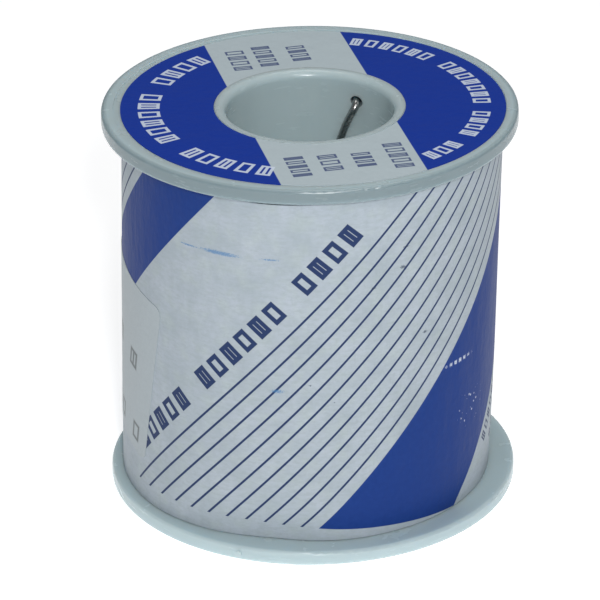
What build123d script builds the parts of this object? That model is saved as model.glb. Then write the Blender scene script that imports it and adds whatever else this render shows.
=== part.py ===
"""Full reel of flux-cored solder wire: a two-piece plastic spool, the wound wire and its labels.

The reel stands on its lower flange. The origin is at the centre of the underside, +Z runs up
the bore and the front is -Y. Sizes are in millimetres. Angles round the axis are counted from
the front, positive towards +X.
"""

import os
from math import cos, pi, radians, sin, sqrt, tan

from build123d import *

os.makedirs("parts", exist_ok=True)

# Spool mouldings
spool_height = 62.0
flange_diameter = 63.0
flange_thickness = 2.3
flange_edge_round = 0.5
bore_diameter = 25.4
hub_wall = 2.6
bore_mouth_round = 1.2
mouth_land_width = 1.7  # the bore's mouth stands as high as the rim
rim_land_width = 1.8
rim_land_height = 0.2  # the rim stands this far above the rest of the flange's face
spigot_length = 4.0
spigot_wall = 0.9
spigot_clearance = 0.05
seam_chamfer = 0.25
gate_nub_diameter = 0.9
gate_nub_height = 0.25
gate_nub_angle = -21.0

# Solder wire and how it is wound
wire_diameter = 1.2
flux_core_diameter = 0.4
layer_pitch = 1.1  # less than one diameter, because each layer sinks into the one below
bare_rim = 2.8  # at least this much of the flange stands proud of the winding
winding_clearance = 0.05
last_turn_span = 290.0
last_turn_start = -40.0

# Start hole through the upper hub wall, parallel to Y, and the tail that comes out of it
start_hole_diameter = 1.8
start_hole_offset = 7.2
start_hole_drop = 4.15  # from the top of the spool down to the hole's centre
tail_bend_share = 0.45  # share of the shorter run that a bend takes up

# Tape and paper
tape_thickness = 0.05
tape_width = 12.0
tape_length = 26.0
paper_clearance = 0.05
paper_thickness = 0.1
wrap_label_gap_below = 0.6
wrap_label_gap_above = 0.9
wrap_overlap = 8.0
wrap_seam_angle = -168.0
batch_sticker_thickness = 0.08
batch_sticker_width = 38.0
batch_sticker_height = 28.0
batch_sticker_corner = 1.6
batch_sticker_angle = -93.0
batch_sticker_rise = 23.1  # its centre above the wrap label's lower edge
batch_sticker_turn = -10.0
ring_sticker_thickness = 0.1
ring_sticker_shift = 0.5
ring_sticker_clearance = 0.1  # from the raised rim, on the side that it is shifted to
ring_sticker_setback = 0.2  # from the raised mouth of the bore

# Sizes that follow from those above
bore_radius = bore_diameter / 2
hub_radius = bore_radius + hub_wall
flange_radius = flange_diameter / 2
land_radius = flange_radius - rim_land_width
mouth_radius = bore_radius + mouth_land_width
seam_height = spool_height / 2
wire_radius = wire_diameter / 2
winding_inner_radius = hub_radius + winding_clearance
layer_room = flange_radius - bare_rim - winding_inner_radius - wire_diameter
layer_count = int(layer_room / layer_pitch) + 1
winding_radius = winding_inner_radius + wire_diameter + (layer_count - 1) * layer_pitch
outer_layer_inner_radius = winding_radius - wire_diameter
winding_bottom = flange_thickness + winding_clearance
winding_top = spool_height - flange_thickness - winding_clearance
turns_per_layer = int((winding_top - winding_bottom) / wire_diameter)
tape_radius = winding_radius + tape_thickness
label_inner_radius = tape_radius + paper_clearance
label_radius = label_inner_radius + paper_thickness
wrap_label_bottom = flange_thickness + wrap_label_gap_below
wrap_label_height = spool_height - flange_thickness - wrap_label_gap_above - wrap_label_bottom
ring_sticker_radius = land_radius - ring_sticker_shift - ring_sticker_clearance
ring_sticker_hole_radius = mouth_radius + ring_sticker_setback
start_hole_height = spool_height - start_hole_drop


def around(radius, angle, height):
    """Point at a radius and an angle counted from the front."""
    return Vector(radius * sin(radians(angle)), -radius * cos(radians(angle)), height)


def outward_plane(angle, height, distance=0.0):
    """Upright plane that looks outwards at an angle, with its X running to the right."""
    return Plane(
        origin=around(distance, angle, height),
        x_dir=around(1, angle + 90, 0),
        z_dir=around(1, angle, 0),
    )


def round_edges(part, radius):
    """Circular edges of one radius, lowest first."""
    circles = part.edges().filter_by(GeomType.CIRCLE)
    return circles.filter_by(lambda edge: abs(edge.radius - radius) < 0.01).sort_by(Axis.Z)


def wire_along(path):
    """The alloy tube of a length of solder wire, and the flux that fills it."""
    section = Plane(origin=path @ 0, z_dir=path % 0)
    with BuildPart() as alloy:
        with BuildSketch(section):
            Circle(wire_radius)
            Circle(flux_core_diameter / 2, mode=Mode.SUBTRACT)
        sweep(path=path)
    with BuildPart() as flux:
        with BuildSketch(section):
            Circle(flux_core_diameter / 2)
        sweep(path=path)
    return alloy, flux


# Lower half: a flange and half of the hub, whose outer skin stands up as a socket
with BuildPart() as lower_spool_half:
    with BuildSketch(Plane.XZ):
        with BuildLine():
            socket_radius = bore_radius + spigot_wall + spigot_clearance
            Polyline(
                (bore_radius, 0),
                (mouth_radius, 0),
                (mouth_radius, rim_land_height),
                (land_radius, rim_land_height),
                (land_radius, 0),
                (flange_radius, 0),
                (flange_radius, flange_thickness),
                (hub_radius, flange_thickness),
                (hub_radius, seam_height + spigot_length),
                (socket_radius, seam_height + spigot_length),
                (socket_radius, seam_height),
                (bore_radius, seam_height),
                close=True,
            )
        make_face()
    revolve(axis=Axis.Z)
    fillet(round_edges(lower_spool_half, flange_radius), flange_edge_round)
    fillet(round_edges(lower_spool_half, bore_radius)[0], bore_mouth_round)
    chamfer(round_edges(lower_spool_half, bore_radius)[-1], seam_chamfer)
    # The trimmed injection gate leaves a low nub on the rim
    with BuildSketch(outward_plane(gate_nub_angle, flange_thickness / 2, land_radius)):
        Circle(gate_nub_diameter / 2)
    extrude(amount=rim_land_width + gate_nub_height)

# Upper half: a flange and half of the hub, whose inner skin reaches down as the spigot
with BuildPart() as upper_spool_half:
    with BuildSketch(Plane.XZ):
        with BuildLine():
            Polyline(
                (bore_radius, spool_height),
                (mouth_radius, spool_height),
                (mouth_radius, spool_height - rim_land_height),
                (land_radius, spool_height - rim_land_height),
                (land_radius, spool_height),
                (flange_radius, spool_height),
                (flange_radius, spool_height - flange_thickness),
                (hub_radius, spool_height - flange_thickness),
                (hub_radius, seam_height + spigot_length),
                (bore_radius + spigot_wall, seam_height + spigot_length),
                (bore_radius + spigot_wall, seam_height),
                (bore_radius, seam_height),
                close=True,
            )
        make_face()
    revolve(axis=Axis.Z)
    fillet(round_edges(upper_spool_half, flange_radius), flange_edge_round)
    fillet(round_edges(upper_spool_half, bore_radius)[-1], bore_mouth_round)
    chamfer(round_edges(upper_spool_half, bore_radius)[0], seam_chamfer)
    with BuildSketch(Plane.XZ):
        with Locations((start_hole_offset, start_hole_height)):
            Circle(start_hole_diameter / 2)
    extrude(amount=-hub_radius - wire_diameter, mode=Mode.SUBTRACT)

# The winding is one continuous wire. Its inner layers are closed in by the outer one.
with BuildPart() as solder_inner_layers:
    with BuildSketch(Plane.XY.offset(winding_bottom)):
        Circle(outer_layer_inner_radius)
        Circle(winding_inner_radius, mode=Mode.SUBTRACT)
    extrude(amount=winding_top - winding_bottom)

# Outer layer, one wire thick, without its last turn
with BuildPart() as solder_outer_layer:
    with BuildSketch(Plane.XY.offset(winding_bottom)):
        Circle(winding_radius)
        Circle(outer_layer_inner_radius, mode=Mode.SUBTRACT)
    extrude(amount=winding_top - winding_bottom - wire_diameter)

# Last turn of the outer layer, which ends cut off under the tape
with BuildLine(Plane.XY.offset(winding_top - wire_radius)) as last_turn_path:
    CenterArc((0, 0), winding_radius - wire_radius, last_turn_start - 90, last_turn_span)
solder_outer_end, outer_end_flux_core = wire_along(last_turn_path.wires()[0])

# Start tail: out through the hub wall, round a tight bend and loosely down inside the bore.
# Past the bend each point is a gap from the bore's wall, an angle and a drop from the hole.
tail_mouth_gap = 1.1
tail_hang = [(0.9, 151, 3.2), (0.9, 158, 7.2), (1.0, 163.5, 12.2), (1.35, 166.5, 17.2), (1.85, 168, 21.4)]
tail_start_depth = sqrt(hub_radius**2 - (start_hole_offset + wire_radius) ** 2)
tail_mouth_depth = sqrt((bore_radius - tail_mouth_gap) ** 2 - start_hole_offset**2)
tail_points = [
    Vector(start_hole_offset, tail_start_depth, start_hole_height),
    Vector(start_hole_offset, tail_mouth_depth, start_hole_height),
]
for gap, angle, drop in tail_hang:
    tail_points.append(around(bore_radius - gap, angle, start_hole_height - drop))
tail_runs = [end - start for start, end in zip(tail_points, tail_points[1:])]
tail_bends = [
    tail_bend_share * min(before.length, after.length) / tan(radians(before.get_angle(after)) / 2)
    for before, after in zip(tail_runs, tail_runs[1:])
]
with BuildLine() as tail_path:
    FilletPolyline(*tail_points, radius=tail_bends)
solder_start_tail, start_tail_flux_core = wire_along(tail_path.wires()[0])

# Clear tape that holds the wire's outer end down
with BuildPart() as outer_end_tape:
    with BuildSketch(Plane.XY.offset(winding_bottom)):
        Circle(tape_radius)
        Circle(winding_radius, mode=Mode.SUBTRACT)
    extrude(amount=winding_top - winding_bottom)
    with BuildSketch(outward_plane(last_turn_start + last_turn_span, winding_top - tape_width / 2)):
        Rectangle(tape_length, tape_width)
    extrude(amount=flange_radius, mode=Mode.INTERSECT)

# Paper label, glued to itself where its ends overlap
with BuildPart() as wrap_label:
    with BuildSketch(Plane.XY.offset(wrap_label_bottom)):
        Circle(label_radius)
        Circle(label_inner_radius, mode=Mode.SUBTRACT)
    extrude(amount=wrap_label_height)
    with BuildSketch(Plane.XY.offset(wrap_label_bottom)) as overlap:
        Circle(label_radius + paper_thickness)
        Circle(label_radius, mode=Mode.SUBTRACT)
        half_overlap = 90 * wrap_overlap / (pi * label_radius)
        with BuildLine():
            Polyline(
                (0, 0),
                around(2 * label_radius, wrap_seam_angle - half_overlap, 0),
                around(2 * label_radius, wrap_seam_angle + half_overlap, 0),
                close=True,
            )
        make_face(mode=Mode.INTERSECT)
    extrude(amount=wrap_label_height)

# Small white sticker over the label, a little askew
with BuildPart() as batch_sticker:
    with BuildSketch(Plane.XY.offset(wrap_label_bottom)):
        Circle(label_radius + batch_sticker_thickness)
        Circle(label_radius, mode=Mode.SUBTRACT)
    extrude(amount=wrap_label_height)
    with BuildSketch(outward_plane(batch_sticker_angle, wrap_label_bottom + batch_sticker_rise)):
        RectangleRounded(
            batch_sticker_width, batch_sticker_height, batch_sticker_corner, rotation=batch_sticker_turn
        )
    extrude(amount=flange_radius, mode=Mode.INTERSECT)

# Ring sticker inside the upper flange's raised rim
with BuildPart() as ring_sticker:
    with BuildSketch(Plane.XY.offset(spool_height - rim_land_height)):
        with Locations((ring_sticker_shift, 0)):
            Circle(ring_sticker_radius)
        Circle(ring_sticker_hole_radius, mode=Mode.SUBTRACT)
    extrude(amount=ring_sticker_thickness)

pieces = {
    "lower_spool_half": lower_spool_half,
    "upper_spool_half": upper_spool_half,
    "solder_inner_layers": solder_inner_layers,
    "solder_outer_layer": solder_outer_layer,
    "solder_outer_end": solder_outer_end,
    "outer_end_flux_core": outer_end_flux_core,
    "solder_start_tail": solder_start_tail,
    "start_tail_flux_core": start_tail_flux_core,
    "outer_end_tape": outer_end_tape,
    "wrap_label": wrap_label,
    "batch_sticker": batch_sticker,
    "ring_sticker": ring_sticker,
}
for name, piece in pieces.items():
    piece.part.label = name
    export_step(piece.part, f"parts/{name}.step")

layer_radii = [winding_inner_radius + wire_radius + i * layer_pitch for i in range(layer_count)]
wire_length = sum(2 * pi * radius * turns_per_layer for radius in layer_radii)
print("layers", layer_count, "turns in a layer", turns_per_layer)
print("wire length in m", round(wire_length / 1000, 1))
print("winding radius", round(winding_radius, 2), "label radius", round(label_radius, 2))
print("tail bend radii", [round(radius, 2) for radius in tail_bends])
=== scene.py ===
from math import cos, degrees, pi, radians, sin

import bpy
from mathutils import Matrix, Vector


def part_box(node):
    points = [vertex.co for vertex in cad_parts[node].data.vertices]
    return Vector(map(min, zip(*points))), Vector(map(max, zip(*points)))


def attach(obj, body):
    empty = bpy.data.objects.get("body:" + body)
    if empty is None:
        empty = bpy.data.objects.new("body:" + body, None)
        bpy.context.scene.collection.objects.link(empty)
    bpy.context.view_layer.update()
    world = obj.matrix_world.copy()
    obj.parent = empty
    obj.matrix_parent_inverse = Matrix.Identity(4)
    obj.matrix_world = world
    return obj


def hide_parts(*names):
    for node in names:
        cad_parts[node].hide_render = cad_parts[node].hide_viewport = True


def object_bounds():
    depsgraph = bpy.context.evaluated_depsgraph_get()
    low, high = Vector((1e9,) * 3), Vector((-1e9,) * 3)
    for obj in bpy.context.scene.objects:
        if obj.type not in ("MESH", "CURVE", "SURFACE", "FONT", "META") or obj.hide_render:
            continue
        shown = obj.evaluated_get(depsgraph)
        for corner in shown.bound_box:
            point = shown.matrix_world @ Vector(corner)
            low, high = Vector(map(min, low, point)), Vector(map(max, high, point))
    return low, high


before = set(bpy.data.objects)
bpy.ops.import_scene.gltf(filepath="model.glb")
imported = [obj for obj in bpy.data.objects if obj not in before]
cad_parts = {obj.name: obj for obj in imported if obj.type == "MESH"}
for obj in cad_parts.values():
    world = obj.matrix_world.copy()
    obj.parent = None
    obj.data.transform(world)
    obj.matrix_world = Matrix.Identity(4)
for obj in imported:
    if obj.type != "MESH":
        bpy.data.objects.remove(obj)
cad_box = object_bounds()

# Full reel of solder wire, standing on its lower flange. Blender works in metres and the sizes
# here are in millimetres. Angles round the reel are in degrees from the front, positive to +X.


# --- Camera, floor and studio light ---
# The reel stands on a pale seamless floor and is looked at from the front and above through a
# long lens. Broad soft boxes hang over its front and its top, a dim one fills in from the right,
# and a small lamp near the camera puts the highlights on the plastic and the wire.
mm = 0.001
spool_height = cad_box[1].z / mm
camera_lens = 246.4
camera_distance = 632.9
camera_elevation = radians(26.04)
camera_yaw = -0.0028
camera_pitch = -0.0026
camera_roll = -0.0091
reel_middle = Vector((0, 0, spool_height / 2 * mm))

camera = bpy.data.objects.new("camera", bpy.data.cameras.new("camera"))
camera.data.lens = camera_lens
camera_way = Vector((0, -cos(camera_elevation), sin(camera_elevation)))
camera_place = Matrix.Translation(reel_middle + camera_way * camera_distance * mm)
camera_stand = Matrix.Rotation(pi / 2 - camera_elevation, 4, "X")
camera_head = Matrix.Rotation(-camera_yaw, 4, "Y") @ Matrix.Rotation(camera_pitch, 4, "X")
camera_tilt = Matrix.Rotation(camera_roll, 4, "Z")
camera.matrix_world = camera_place @ camera_stand @ camera_head @ camera_tilt
bpy.context.scene.collection.objects.link(camera)
bpy.context.scene.camera = camera


class Term:
    """An output of a node tree that can stand in a sum: each operator adds one Math node."""

    def __init__(self, tree, socket=None):
        self.tree = tree
        self.socket = socket

    def node(self, kind, settings=None, inputs=None, output=0):
        """Adds any other node, with its settings first and then its sockets' values or links."""
        new = self.tree.nodes.new(kind)
        for name, value in (settings or {}).items():
            setattr(new, name, value)
        for key, value in (inputs or {}).items():
            if isinstance(value, Term):
                self.tree.links.new(value.socket, new.inputs[key])
            else:
                new.inputs[key].default_value = value
        return Term(self.tree, new.outputs[output] if new.outputs else None)

    def maths(self, operation, *terms, clamp=False):
        settings = {"operation": operation, "use_clamp": clamp}
        return self.node("ShaderNodeMath", settings, dict(enumerate(terms)))

    def __add__(self, other):
        return self.maths("ADD", self, other)

    def __sub__(self, other):
        return self.maths("SUBTRACT", self, other)

    def __rsub__(self, other):
        return self.maths("SUBTRACT", other, self)

    def __mul__(self, other):
        return self.maths("MULTIPLY", self, other)

    def __truediv__(self, other):
        return self.maths("DIVIDE", self, other)

    def __rtruediv__(self, other):
        return self.maths("DIVIDE", other, self)

    def __pow__(self, other):
        return self.maths("POWER", self, other)

    def __mod__(self, other):
        return self.maths("FLOORED_MODULO", self, other)

    def __abs__(self):
        return self.maths("ABSOLUTE", self)

    __radd__ = __add__
    __rmul__ = __mul__

    def below(self, edge, blur):
        """1 where this is less than edge and 0 where it is more, blended over blur."""
        return self.maths("MULTIPLY_ADD", self, -1 / blur, edge / blur + 0.5, clamp=True)

    def between(self, low, high, blur):
        return self.below(high, blur) - self.below(low, blur)

    def mixed(self, first, second):
        """The first colour where this is 0 and the second where it is 1."""
        inputs = {0: self, 6: first, 7: second}
        return self.node("ShaderNodeMix", {"data_type": "RGBA"}, inputs, output=2)

    def noise(self, where, scale, detail=3.0, roughness=0.55):
        inputs = {"Vector": where, "Scale": scale, "Detail": detail, "Roughness": roughness}
        return self.node("ShaderNodeTexNoise", {}, inputs)

    def stretched(self, scale):
        """This vector with each axis multiplied, so that a pattern on it is drawn out."""
        return self.node("ShaderNodeMapping", {"vector_type": "POINT"}, {"Vector": self, "Scale": scale})

    def bump(self, depth, strength=1.0):
        """A normal from this height, which stands for depth in millimetres from 0 to 1."""
        inputs = {"Strength": strength, "Distance": depth * mm, "Height": self}
        return self.node("ShaderNodeBump", {}, inputs)


def new_finish(name):
    """An empty material, and a term to start its tree from."""
    finish = bpy.data.materials.new(name)
    finish.use_nodes = True
    finish.node_tree.nodes.clear()
    return finish, Term(finish.node_tree)


def surface(start, **sockets):
    """Ends a material's tree in one Principled shader with these sockets set."""
    inputs = {name.replace("_", " "): value for name, value in sockets.items()}
    shader = start.node("ShaderNodeBsdfPrincipled", {}, inputs)
    start.node("ShaderNodeOutputMaterial", {}, {"Surface": shader})


def soft_box(name, place, size, power, tint):
    """A square lamp at a place in millimetres from the middle of the reel, turned towards it."""
    lamp = bpy.data.lights.new(name, "AREA")
    lamp.size = size * mm
    lamp.energy = power
    lamp.color = tint
    holder = bpy.data.objects.new(name, lamp)
    holder.location = reel_middle + Vector(place) * mm
    holder.rotation_euler = Vector(place).to_track_quat("Z", "Y").to_euler()
    bpy.context.scene.collection.objects.link(holder)


soft_box("front_box", (70, -370, 420), 220, 0.55, (1.0, 1.0, 1.0))
soft_box("small_lamp", (30, -560, 330), 40, 1.5, (1.0, 1.0, 1.0))
soft_box("right_box", (420, -260, 240), 240, 0.02, (0.97, 0.99, 1.0))
soft_box("top_box", (0, 120, 560), 320, 0.75, (1.0, 1.0, 1.0))

world = bpy.data.worlds.new("studio_walls")
world.use_nodes = True
world.node_tree.nodes["Background"].inputs["Color"].default_value = (0.95, 0.975, 1.0, 1)
world.node_tree.nodes["Background"].inputs["Strength"].default_value = 0.21
bpy.context.scene.world = world
bpy.context.scene.view_settings.view_transform = "Standard"

floor_finish, start = new_finish("floor_finish")
where = start.node("ShaderNodeTexCoord", output="Object")
floor_shade = start.noise(where, 30).mixed((0.88, 0.88, 0.88, 1), (0.93, 0.93, 0.93, 1))
surface(start, Base_Color=floor_shade, Roughness=0.6, Emission_Color=(1, 1, 1, 1), Emission_Strength=0.55)
floor_reach = 3.0
floor_mesh = bpy.data.meshes.new("floor")
floor_corners = [(-floor_reach, -floor_reach), (floor_reach, -floor_reach)]
floor_corners += [(floor_reach, floor_reach), (-floor_reach, floor_reach)]
floor_mesh.from_pydata([(x, y, 0) for x, y in floor_corners], [], [(0, 1, 2, 3)])
floor_mesh.materials.append(floor_finish)
floor = bpy.data.objects.new("floor", floor_mesh)
bpy.context.scene.collection.objects.link(floor)


# --- Spool mouldings ---
# Two injection moulded halves in milky grey polypropylene, pressed together inside the bore.
# The plastic lets some light in. Handling has scuffed it a little, and the upper flange's outer rim is
# darkened with painted shade.
def dress(nodes, finish):
    """Gives CAD nodes a finish, whose look stands for a material slot of the record."""
    for name in nodes:
        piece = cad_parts[name]
        piece.data.materials.clear()
        piece.data.materials.append(finish)


plastic, start = new_finish("milky_grey_polypropylene")
where = start.node("ShaderNodeTexCoord", output="Object")
clouds = start.noise(where, 90, 3)
scuffs = start.noise(where.stretched((260, 260, 1500)), 1, 3, 0.6)
rim_shade_radius = 31.0  # the radius past which the upper flange is darkened with painted shade
flattened = where.stretched((1, 1, 0))
from_axis = start.node("ShaderNodeVectorMath", {"operation": "LENGTH"}, {0: flattened}, output=1)
height = start.node("ShaderNodeSeparateXYZ", {}, {0: where}, output="Z")
# Painted shade: past this radius and above half height, the upper flange's outer rim is darkened towards a
# dark grey
painted_rim_shade = (rim_shade_radius * mm - from_axis).below(0, 0.8 * mm)
painted_rim_shade = painted_rim_shade * (spool_height * mm / 2 - height).below(0, mm)
milk = clouds.mixed((0.46, 0.56, 0.58, 1), (0.51, 0.615, 0.635, 1))
milk = (painted_rim_shade * 0.9).mixed(milk, (0.18, 0.24, 0.26, 1))
gloss = 0.16 + 0.18 * scuffs
relief = (clouds * 2.2 + scuffs * 0.05).bump(0.02)
surface(
    start,
    Base_Color=milk,
    Roughness=gloss,
    Normal=relief,
    Subsurface_Weight=0.75,
    Subsurface_Radius=(1.0, 1.1, 1.2),
    Subsurface_Scale=2.5 * mm,
    IOR=1.49,
)
dress(["lower_spool_half", "upper_spool_half"], plastic)


# --- Solder wire ---
# Soft tin and lead alloy drawn to 1.2 mm round a core of flux, bright where it is rubbed and
# dull grey where it has tarnished. One wire makes all the layers, wound tight and side by side.
alloy, start = new_finish("tarnished_solder")
where = start.node("ShaderNodeTexCoord", output="Object")
tarnish = start.noise(where, 420, 4, 0.6)
die_lines = start.noise(where.stretched((3000, 3000, 300)), 1, 2)
grey = tarnish.mixed((0.24, 0.24, 0.235, 1), (0.40, 0.40, 0.39, 1))
surface(
    start,
    Base_Color=grey,
    Metallic=1.0,
    Roughness=0.12 + 0.26 * tarnish,
    Normal=(die_lines * 0.6 + tarnish * 0.6).bump(0.02),
)
dress(["solder_inner_layers", "solder_start_tail"], alloy)

rosin, start = new_finish("rosin_flux")
where = start.node("ShaderNodeTexCoord", output="Object")
amber = start.noise(where, 1500, 3).mixed((0.42, 0.26, 0.08, 1), (0.62, 0.44, 0.18, 1))
surface(start, Base_Color=amber, Roughness=0.35)
dress(["start_tail_flux_core"], rosin)

# The outer layer leans a little, is slack low down on the right, and stops short of the lower
# flange at the front, so that what lies over it gives way in those places
lean_at_foot = -1.0
lean_at_top = 0.45
slack_spots = (  # depth, angle and reach round the reel, height and reach up it
    (0.35, 80, 40, 0, 22),
    (1.35, -14, 26, 3, 4.5),
    (0.35, 30, 45, 3, 4.5),
)


def bell(distance):
    """1 at no distance, and falling away smoothly on both sides."""
    return 1 / (1 + distance * distance) ** 2


def give(angle, east, height):
    """How far the winding stands out from a true cylinder, at an angle whose sine is east."""
    stand = (lean_at_foot + (lean_at_top - lean_at_foot) * height / spool_height) * east
    for depth, spot_angle, spot_reach, spot_height, spot_rise in slack_spots:
        slack = bell((angle - spot_angle) / spot_reach) * bell((height - spot_height) / spot_rise)
        stand = stand - slack * depth
    return stand


wire_diameter = 1.2
flux_core_diameter = 0.4
outer_low, outer_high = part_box("solder_outer_layer")
end_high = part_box("solder_outer_end")[1]
wound_radius = outer_high.x / mm - wire_diameter / 2
first_turn = outer_low.z / mm + wire_diameter / 2
last_turn = end_high.z / mm - wire_diameter / 2
turns = 46  # full turns before the last one, which stops short
turn_start = -40
level_share = 290 / 360  # of a turn, before the wire steps up to the next one
points_per_turn = 96
sides = 10

wound_wire = bpy.data.node_groups.new("wound_wire", "GeometryNodeTree")
wound_wire.interface.new_socket("Geometry", in_out="OUTPUT", socket_type="NodeSocketGeometry")
wound_inputs = {
    "Turns": turns + level_share,
    "First": 0.0,
    "Radius": wound_radius,
    "Foot": first_turn,
    "Pitch": (last_turn - first_turn) / turns,
    "Thickness": wire_diameter,
}
for name, size in wound_inputs.items():
    socket = wound_wire.interface.new_socket(name, in_out="INPUT", socket_type="NodeSocketFloat")
    socket.default_value = size
wound_wire.interface.new_socket("Alloy", in_out="INPUT", socket_type="NodeSocketMaterial")
start = Term(wound_wire)
wound = {name: start.node("NodeGroupInput", output=name) for name in [*wound_inputs, "Alloy"]}
turn = wound["First"] + start.node("GeometryNodeInputIndex") / points_per_turn
angle = (turn_start + turn * 360 + 180) % 360 - 180
east = start.maths("SINE", angle * (pi / 180))
front = start.maths("COSINE", angle * (pi / 180))
past_level = turn % 1 - level_share
level = turn - turn % 1 + past_level.maths("DIVIDE", past_level, 1 - level_share, clamp=True)
height = wound["Foot"] + wound["Pitch"] * level
reach = wound["Radius"] + give(angle, east, height)
place = start.node(
    "ShaderNodeCombineXYZ", {}, {"X": reach * east * mm, "Y": reach * front * -mm, "Z": height * mm}
)
spiral = start.node(
    "GeometryNodeCurveSpiral",
    {},
    {"Resolution": points_per_turn, "Rotations": wound["Turns"], "Start Radius": 1.0, "End Radius": 1.0},
)
spiral = start.node("GeometryNodeSetPosition", {}, {"Geometry": spiral, "Position": place})
section = start.node(
    "GeometryNodeCurvePrimitiveCircle", {}, {"Resolution": sides, "Radius": wound["Thickness"] * (mm / 2)}
)
wire = start.node(
    "GeometryNodeCurveToMesh", {}, {"Curve": spiral, "Profile Curve": section, "Fill Caps": True}
)
wire = start.node("GeometryNodeRealizeInstances", {}, {"Geometry": wire})
wire = start.node("GeometryNodeSetMaterial", {}, {"Geometry": wire, "Material": wound["Alloy"]})
start.node("NodeGroupOutput", {}, {"Geometry": wire})


def grown(name, tree, values):
    """The plain mesh object that a Geometry Nodes tree makes with these inputs."""
    piece = bpy.data.objects.new(name, bpy.data.meshes.new(name))
    bpy.context.scene.collection.objects.link(piece)
    modifier = piece.modifiers.new("grow", "NODES")
    modifier.node_group = tree
    for item in tree.interface.items_tree:
        if item.in_out == "INPUT" and item.name in values:
            modifier[item.identifier] = values[item.name]
    evaluated = piece.evaluated_get(bpy.context.evaluated_depsgraph_get())
    mesh = bpy.data.meshes.new_from_object(evaluated)
    piece.modifiers.clear()
    piece.data = mesh
    mesh.name = name
    mesh.shade_smooth()
    return piece


outer_winding = grown("outer_winding", wound_wire, {"Alloy": alloy})
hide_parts("solder_outer_layer", "solder_outer_end")
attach(outer_winding, "root")

# The flux is seen only at the cut end, so its core is made along the last turn alone
flux_proud = 0.0005  # of a turn
core_values = {
    "Turns": level_share + flux_proud,
    "First": float(turns),
    "Thickness": flux_core_diameter,
    "Alloy": rosin,
}
end_flux = grown("end_flux", wound_wire, core_values)
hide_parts("outer_end_flux_core")
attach(end_flux, "root")


# --- Tape on the wire's outer end ---
# A short strip of clear film that holds the end down. It lies over the top ten turns and so
# shows their ridges, and it is hidden by the label.
def laid(name, columns, rows, place, closed=False):
    """A sheet on a grid, where place puts each pair of shares, with a UV map of the shares."""
    mesh = bpy.data.meshes.new(name)
    wide = columns if closed else columns + 1
    mesh.from_pydata(
        [Vector(place(i / columns, j / rows)) * mm for j in range(rows + 1) for i in range(wide)],
        [],
        [
            [(i + right) % wide + (j + up) * wide for right, up in ((0, 0), (1, 0), (1, 1), (0, 1))]
            for j in range(rows)
            for i in range(columns)
        ],
    )
    shares = mesh.uv_layers.new(name="sheet")
    corners = [
        ((i + right) / columns, (j + up) / rows)
        for j in range(rows)
        for i in range(columns)
        for right, up in ((0, 0), (1, 0), (1, 1), (0, 1))
    ]
    for corner, share in zip(shares.uv, corners):
        corner.vector = share
    mesh.shade_smooth()
    piece = bpy.data.objects.new(name, mesh)
    bpy.context.scene.collection.objects.link(piece)
    return piece


def thickened(piece, thickness):
    """Gives a sheet its thickness, inwards from the side that shows, with sharp cut edges."""
    solid = piece.modifiers.new("thickness", "SOLIDIFY")
    solid.thickness = thickness * mm
    solid.offset = -1
    evaluated = piece.evaluated_get(bpy.context.evaluated_depsgraph_get())
    mesh = bpy.data.meshes.new_from_object(evaluated)
    piece.modifiers.clear()
    piece.data = mesh
    mesh.name = piece.name
    mesh.set_sharp_from_angle(angle=radians(40))
    return piece


def round_reel(angle, radius, height):
    """The point at an angle and a radius that follows the way the winding gives."""
    reach = radius + give(angle, sin(radians(angle)), height)
    return reach * sin(radians(angle)), -reach * cos(radians(angle)), height


tape_thickness = 0.05
tape_width = 12.0
tape_length = 26.0
tape_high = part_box("outer_end_tape")[1]
tape_radius = wound_radius + wire_diameter / 2 + tape_thickness
tape_angle = turn_start + 360 * level_share - 360


def tape_place(u, v):
    angle = tape_angle + degrees((u - 0.5) * tape_length / tape_radius)
    return round_reel(angle, tape_radius, tape_high.z / mm - tape_width * (1 - v))


film, start = new_finish("clear_film")
where = start.node("ShaderNodeTexCoord", output="Object")
film_tint = start.noise(where, 200).mixed((0.86, 0.88, 0.84, 1), (0.94, 0.95, 0.92, 1))
surface(start, Base_Color=film_tint, Roughness=0.16, Alpha=0.35)
end_tape = thickened(laid("end_tape", 32, 12, tape_place), tape_thickness)
end_tape.data.materials.append(film)
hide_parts("outer_end_tape")
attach(end_tape, "root")


# --- Wrap label ---
# Coated paper printed in dark blue, wrapped once round the winding and glued where its ends
# overlap. It is a little askew and wavy, with its lower edge pushed out beside the slack wire.
paper_thickness = 0.1
label_radius = 28.85
label_bottom = 2.4
label_top = 58.8
label_overlap = 8.0
seam_angle = -168
label_arc = 2 * pi * label_radius + label_overlap
label_start = seam_angle - degrees(label_overlap / 2 / label_radius)
label_turn = degrees(label_arc / label_radius)


def rise(share):
    """A smooth step from 0 to 1 while share goes from 0 to 1."""
    share = min(max(share, 0), 1)
    return share * share * (3 - 2 * share)


def label_place(u, v, proud=0.0):
    """A point of the label's outer side, u of the way round and v of the way up."""
    angle = label_start + u * label_turn
    height = label_bottom + v * (label_top - label_bottom)
    curl = 0.75 * bell((angle + 12) / 20) * v**14 + 0.3 * bell((angle - 40) / 25) * v**20
    wave = 0.05 * sin(radians(5 * angle + 260 * v)) + 0.04 * sin(radians(11 * angle - 500 * v))
    flap = paper_thickness * rise((angle - label_start - 360) / 4 + 1)
    radius = label_radius + curl + wave * 0.5 + flap + proud
    return round_reel(angle, radius, height)


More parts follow.
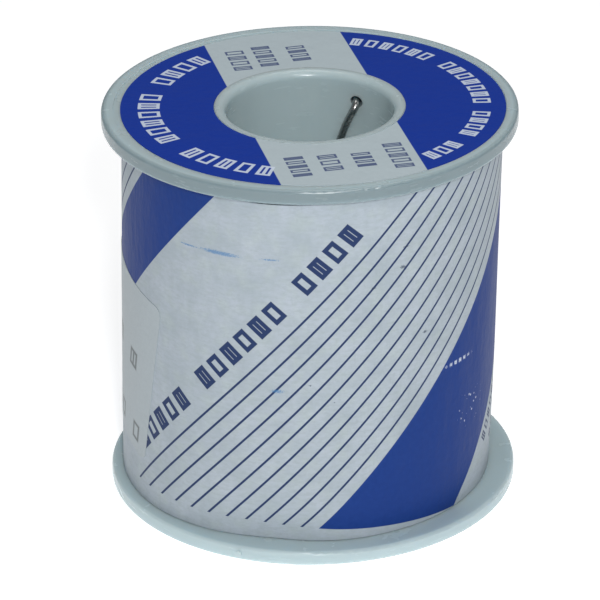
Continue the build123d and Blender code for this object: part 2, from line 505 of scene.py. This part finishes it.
def row_of_marks(along, across, start_at, pitch, pattern, height, stroke, blur=0.07):
    """Placeholder print: a box for every x of the pattern, every other one with an upright bar."""
    cell = (along - start_at) / pitch
    number = cell - cell % 1
    side = abs(cell % 1 - 0.5) * pitch
    level = abs(across)
    over = side.maths("MAXIMUM", side - pitch * 0.34, level - height / 2)
    outline = over.between(-stroke, 0, blur)
    odd = (number * 0.5) % 1
    bar = side.below(stroke / 2, blur) * level.below(height / 2, blur) * odd.below(0.25, 0.1)
    marks = outline.maths("MAXIMUM", outline, bar) * cell.between(0, len(pattern), 0.01)
    for place, letter in enumerate(pattern):
        if letter == " ":
            marks = marks * (1 - number.maths("COMPARE", number, float(place), 0.5))
    return marks


# Places on the flat label are in millimetres: round the reel from its front, and up from the
# floor. Slanting lines and fields are placed where they would meet the floor.
line_blue = (0.022, 0.042, 0.12, 1)
print_slope = 1.103  # how far up the slanting print goes for each millimetre round the reel
print_angle = radians(47.8)
line_pitch = 3.1
line_width = 0.34
level_width = 1.34 * line_width  # across a slanting line, measured level
line_count = 11
front_lines = -37.2
back_lines = -85.2 - line_pitch * (line_count - 1)
front_field = (-3.3, 23.5)
back_field = (-82.6, -67.7)
title_start = -12.3
title_pitch = 3.38
title_rise = 31.6
small_print_start = 30.5
small_print_drop = 19.6
small_print_spacing = 5.2

label_print, start = new_finish("printed_label")
shares = start.node("ShaderNodeUVMap", {"uv_map": "sheet"})
share_round = start.node("ShaderNodeSeparateXYZ", {}, {0: shares}, output="X")
share_up = start.node("ShaderNodeSeparateXYZ", {}, {0: shares}, output="Y")
arc = share_round * label_arc + radians(label_start) * label_radius
up = share_up * (label_top - label_bottom) + label_bottom
flat = start.node("ShaderNodeCombineXYZ", {}, {"X": arc, "Y": up})
slant = arc - up / print_slope
grain = start.noise(flat, 1.1, 4, 0.6)
fibre = start.noise(flat, 6, 3, 0.7)


def ruled(first):
    """A set of thin lines that slant upwards, the first of them at this slant."""
    inside = slant.between(first - line_pitch / 2, first + line_pitch * (line_count - 0.5), 0.01)
    line = abs((slant - first + line_pitch / 2) % line_pitch - line_pitch / 2)
    return line.below(level_width / 2, 0.1) * inside


print_foot = arc.maths("MINIMUM", 5.4, 4.6 - arc * 0.085)
above_margin = (print_foot - up).below(0, 0.08)
lines = (ruled(front_lines) + ruled(back_lines)) * above_margin
bands = (slant.between(*front_field, 0.08) + slant.between(*back_field, 0.08)) * above_margin
reading = arc * cos(print_angle) + up * sin(print_angle)
lifting = up * cos(print_angle) - arc * sin(print_angle)
title_words = "xxxxx xxxxxx xxxx"
title = row_of_marks(reading, lifting - title_rise, title_start, title_pitch, title_words, 3.3, 0.70)
small_print = title * 0
for number, pattern in enumerate(("xxxxxx xxxx", "xxxx xxxxxxx", "xxxxx xxx xx", "xxxxxxx xxx")):
    from_row = lifting + small_print_drop + number * small_print_spacing
    row = row_of_marks(reading, from_row, small_print_start + number * 2, 1.9, pattern, 2.1, 0.34)
    small_print = small_print + row

blotches = start.noise(flat, 0.16, 4, 0.65)
tint = start.noise(flat, 0.35, 2)
colour = blotches.mixed((0.30, 0.36, 0.395, 1), (0.51, 0.56, 0.635, 1))
colour = (tint.below(0.42, 0.2) * 0.35).mixed(colour, (0.44, 0.51, 0.49, 1))
dust = start.noise(flat.stretched((1.3, 0.5, 1)), 1, 4, 0.7).below(0.36, 0.1)
colour = (dust * 0.35).mixed(colour, (0.33, 0.38, 0.41, 1))
flecks = start.noise(flat.stretched((0.7, 1.8, 1)), 1, 5, 0.75).below(0.47, 0.2)
colour = (flecks * 0.5).mixed(colour, (0.33, 0.385, 0.41, 1))
blue = grain.mixed((0.006, 0.033, 0.19, 1), (0.012, 0.048, 0.235, 1))
colour = bands.mixed(colour, blue)
ink = lines.maths("MAXIMUM", lines, title)
colour = ink.maths("MAXIMUM", ink, small_print).mixed(colour, line_blue)


def rubbed(place, reach, edge):
    """A broken patch of wear round a place on the flat label."""
    away = ((arc - place[0]) / reach[0]) ** 2 + ((up - place[1]) / reach[1]) ** 2
    return (away * 0.35 - fibre * 1.0).below(edge, 0.12)


# Handling marks: smudged ink, specks of dirt, and scuffs where the blue has rubbed off
small_smudges = (((-19.5, 49.4), (2.6, 0.25)), ((-6, 49.6), (2.2, 0.22)), ((-5.2, 28.1), (1.6, 0.5)))
smudges = rubbed((-14, 49.5), (4.6, 0.5), -0.38)
for place, reach in small_smudges:
    smudges = smudges.maths("MAXIMUM", smudges, rubbed(place, reach, -0.42))
colour = (smudges * 0.75).mixed(colour, (0.06, 0.20, 0.42, 1))
small_specks = (
    ((14, 47), 0.7),
    ((9.3, 44.4), 0.5),
    ((18, 35.2), 0.55),
    ((-0.3, 29.2), 0.3),
    ((3.3, 26.2), 0.2),
)
specks = rubbed((14.5, 50.2), (0.7, 0.22), -0.38)
for place, size in small_specks:
    specks = specks.maths("MAXIMUM", specks, rubbed(place, (size, size * 0.6), -0.38))
colour = (specks * 0.75).mixed(colour, (0.035, 0.05, 0.09, 1))
dashes = rubbed((25.6, 27.7), (4.4, 0.5), -0.36) * (abs(arc % 1.1 - 0.55)).below(0.3, 0.15)
dots = start.node("ShaderNodeTexVoronoi", {}, {"Vector": flat, "Scale": 1.15}).below(0.2, 0.08)
peppered = dots * rubbed((29.3, 18.6), (4.2, 3.6), -0.30)
colour = (dashes.maths("MAXIMUM", dashes, peppered) * 0.85).mixed(colour, (0.62, 0.68, 0.78, 1))

creases = start.noise(flat.stretched((0.16, 0.06, 1)), 1, 4, 0.55)
dimples = start.noise(flat, 0.45, 2)
surface(
    start,
    Base_Color=colour,
    Roughness=0.42 + 0.14 * grain,
    Normal=(creases * 1.6 + dimples * 0.25 + fibre * 0.03).bump(0.4, 0.7),
    Specular_IOR_Level=0.12,
)
paper_label = thickened(laid("paper_label", 380, 56, label_place), paper_thickness)
paper_label.data.materials.append(label_print)
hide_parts("wrap_label")
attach(paper_label, "root")


# --- Batch sticker ---
# A small self-adhesive label with rounded corners, stuck over the wrap label a little askew.
# It is plain white paper, stamped with two rows of marks.
batch_thickness = 0.08
batch_width = 38.0
batch_height = 28.0
batch_corner = 1.6
batch_angle = -93
batch_rise = 26.0
batch_turn = radians(-10)


def batch_place(u, v):
    """A point of the sticker, whose rows run short near its rounded corners."""
    v = (1 - cos(pi * v)) / 2
    from_end = min(v, 1 - v) * batch_height
    cut = batch_corner - (batch_corner**2 - max(batch_corner - from_end, 0) ** 2) ** 0.5
    x = (u - 0.5) * (batch_width - 2 * cut)
    y = (v - 0.5) * batch_height
    turned_x = x * cos(batch_turn) - y * sin(batch_turn)
    turned_y = x * sin(batch_turn) + y * cos(batch_turn)
    round_share = (batch_angle + degrees(turned_x / label_radius) - label_start) / label_turn
    up_share = (batch_rise + turned_y - label_bottom) / (label_top - label_bottom)
    return label_place(round_share, up_share, batch_thickness)


batch_paper, start = new_finish("batch_sticker_paper")
shares = start.node("ShaderNodeUVMap", {"uv_map": "sheet"})
across = start.node("ShaderNodeSeparateXYZ", {}, {0: shares}, output="X") * batch_width
share_up = start.node("ShaderNodeSeparateXYZ", {}, {0: shares}, output="Y")
upward = (1 - start.maths("COSINE", share_up * pi)) * (batch_height / 2)
flat = start.node("ShaderNodeCombineXYZ", {}, {"X": across, "Y": upward})
grain = start.noise(flat, 1.3, 4, 0.6)
stamped = row_of_marks(across, upward - 15.2, 14.0, 3.9, "xxx x", 3.0, 0.55, 0.35)
stamped = stamped + row_of_marks(across, upward - 3.3, 9.6, 3.3, "xx xxx x", 3.0, 0.5, 0.35)
colour = grain.mixed((0.35, 0.405, 0.435, 1), (0.41, 0.465, 0.495, 1))
colour = (stamped * 0.85).mixed(colour, (0.06, 0.075, 0.08, 1))
surface(
    start,
    Base_Color=colour,
    Roughness=0.5,
    Normal=(grain * 1.0 + start.noise(flat.stretched((0.3, 0.1, 1)), 1) * 3).bump(0.06),
)
batch_label = thickened(laid("batch_label", 76, 48, batch_place), batch_thickness)
batch_label.data.materials.append(batch_paper)
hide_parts("batch_sticker")
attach(batch_label, "root")


# --- Ring sticker ---
# A die-cut ring of coated paper inside the upper flange's raised rim, printed in two blue
# fields with a bare grey band between them, white marks on the blue and dark ones on the band.
ring_low, ring_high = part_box("ring_sticker")
ring_radius = (ring_high.x - ring_low.x) / 2 / mm
ring_shift = (ring_high.x + ring_low.x) / 2 / mm
ring_hole = 14.5
ring_top = ring_high.z / mm
ring_thickness = 0.1


def ring_place(u, v):
    """A point of the sticker's upper side, which is very slightly wavy between its edges."""
    turn = 2 * pi * u
    radius = ring_radius + (ring_hole - ring_radius) * v
    x = cos(turn) * radius + ring_shift * (1 - v)
    y = sin(turn) * radius
    wave = 0.02 * sin(5 * turn + 3 * v) + 0.015 * sin(9 * turn)
    return x, y, ring_top + wave * (1 - v) * v * 4


band_angle = radians(13)
band_reach = (-10.6, 11.2)
left_row = 24.8  # radius of the white marks on the left field
left_row_start = 257.2
left_row_step = 7.4  # degrees for each mark
right_row = 25.5  # and of those on the right field
right_row_start = -50
right_row_step = 5.53
ring_print, start = new_finish("printed_ring")
where = start.node("ShaderNodeTexCoord", output="Object")
east = start.node("ShaderNodeSeparateXYZ", {}, {0: where}, output="X") / mm
north = start.node("ShaderNodeSeparateXYZ", {}, {0: where}, output="Y") / mm
flat = start.node("ShaderNodeCombineXYZ", {}, {"X": east, "Y": north})
grain = start.noise(flat, 1.2, 4, 0.6)
over_band = east * cos(band_angle) + north * sin(band_angle)
along_band = north * cos(band_angle) - east * sin(band_angle)
fields = 1 - over_band.between(*band_reach, 0.1)

out_of_middle = ((east - ring_shift) ** 2 + north**2) ** 0.5
heading = start.maths("ARCTAN2", north, east - ring_shift) * (180 / pi)
left_along = (left_row_start - heading % 360) * radians(left_row)
right_along = ((heading + 180) % 360 - 180 - right_row_start) * radians(right_row)
left_pitch = left_row_step * radians(left_row)
right_pitch = right_row_step * radians(right_row)
left_words = "xxxxx xxxxxx xxxx"
right_words = "xxx xxxx xxxxxxx xxxxxx"
white_marks = row_of_marks(left_along, out_of_middle - left_row, 0, left_pitch, left_words, 3.3, 0.5)
white_marks = white_marks + row_of_marks(
    right_along, out_of_middle - right_row, 0, right_pitch, right_words, 2.7, 0.45
)
dark_marks = fields * 0
for place, first, pitch, pattern in (  # across the band, along it, for each mark
    (-6.7, 15.3, 2.1, "xxxx"),
    (-2.4, 16.0, 1.7, "xxxxx"),
    (2.9, 16.9, 1.6, "xxxx"),
    (-6.8, -25.2, 1.5, "xxxxx"),
    (-1.9, -24.4, 2.1, "xxx"),
    (3.1, -24.1, 1.35, "xxxx"),
    (8.4, -25.8, 1.9, "xxxxx"),
):
    dark_marks = dark_marks + row_of_marks(along_band, over_band - place, first, pitch, pattern, 2.9, 0.34)
colour = grain.mixed((0.49, 0.575, 0.61, 1), (0.55, 0.635, 0.67, 1))
blue = grain.mixed((0.003, 0.033, 0.32, 1), (0.007, 0.046, 0.38, 1))
colour = fields.mixed(colour, blue)
colour = (white_marks * 0.9).mixed(colour, (0.70, 0.78, 0.90, 1))
colour = (dark_marks * 0.9).mixed(colour, (0.06, 0.09, 0.22, 1))
surface(
    start,
    Base_Color=colour,
    Roughness=0.38 + 0.12 * grain,
    Specular_IOR_Level=0.12,
    Normal=(grain * 0.5 + start.noise(flat, 0.18, 2) * 4).bump(0.05),
)
ring_label = thickened(laid("ring_label", 240, 16, ring_place, closed=True), ring_thickness)
ring_label.data.materials.append(ring_print)
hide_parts("ring_sticker")
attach(ring_label, "root")
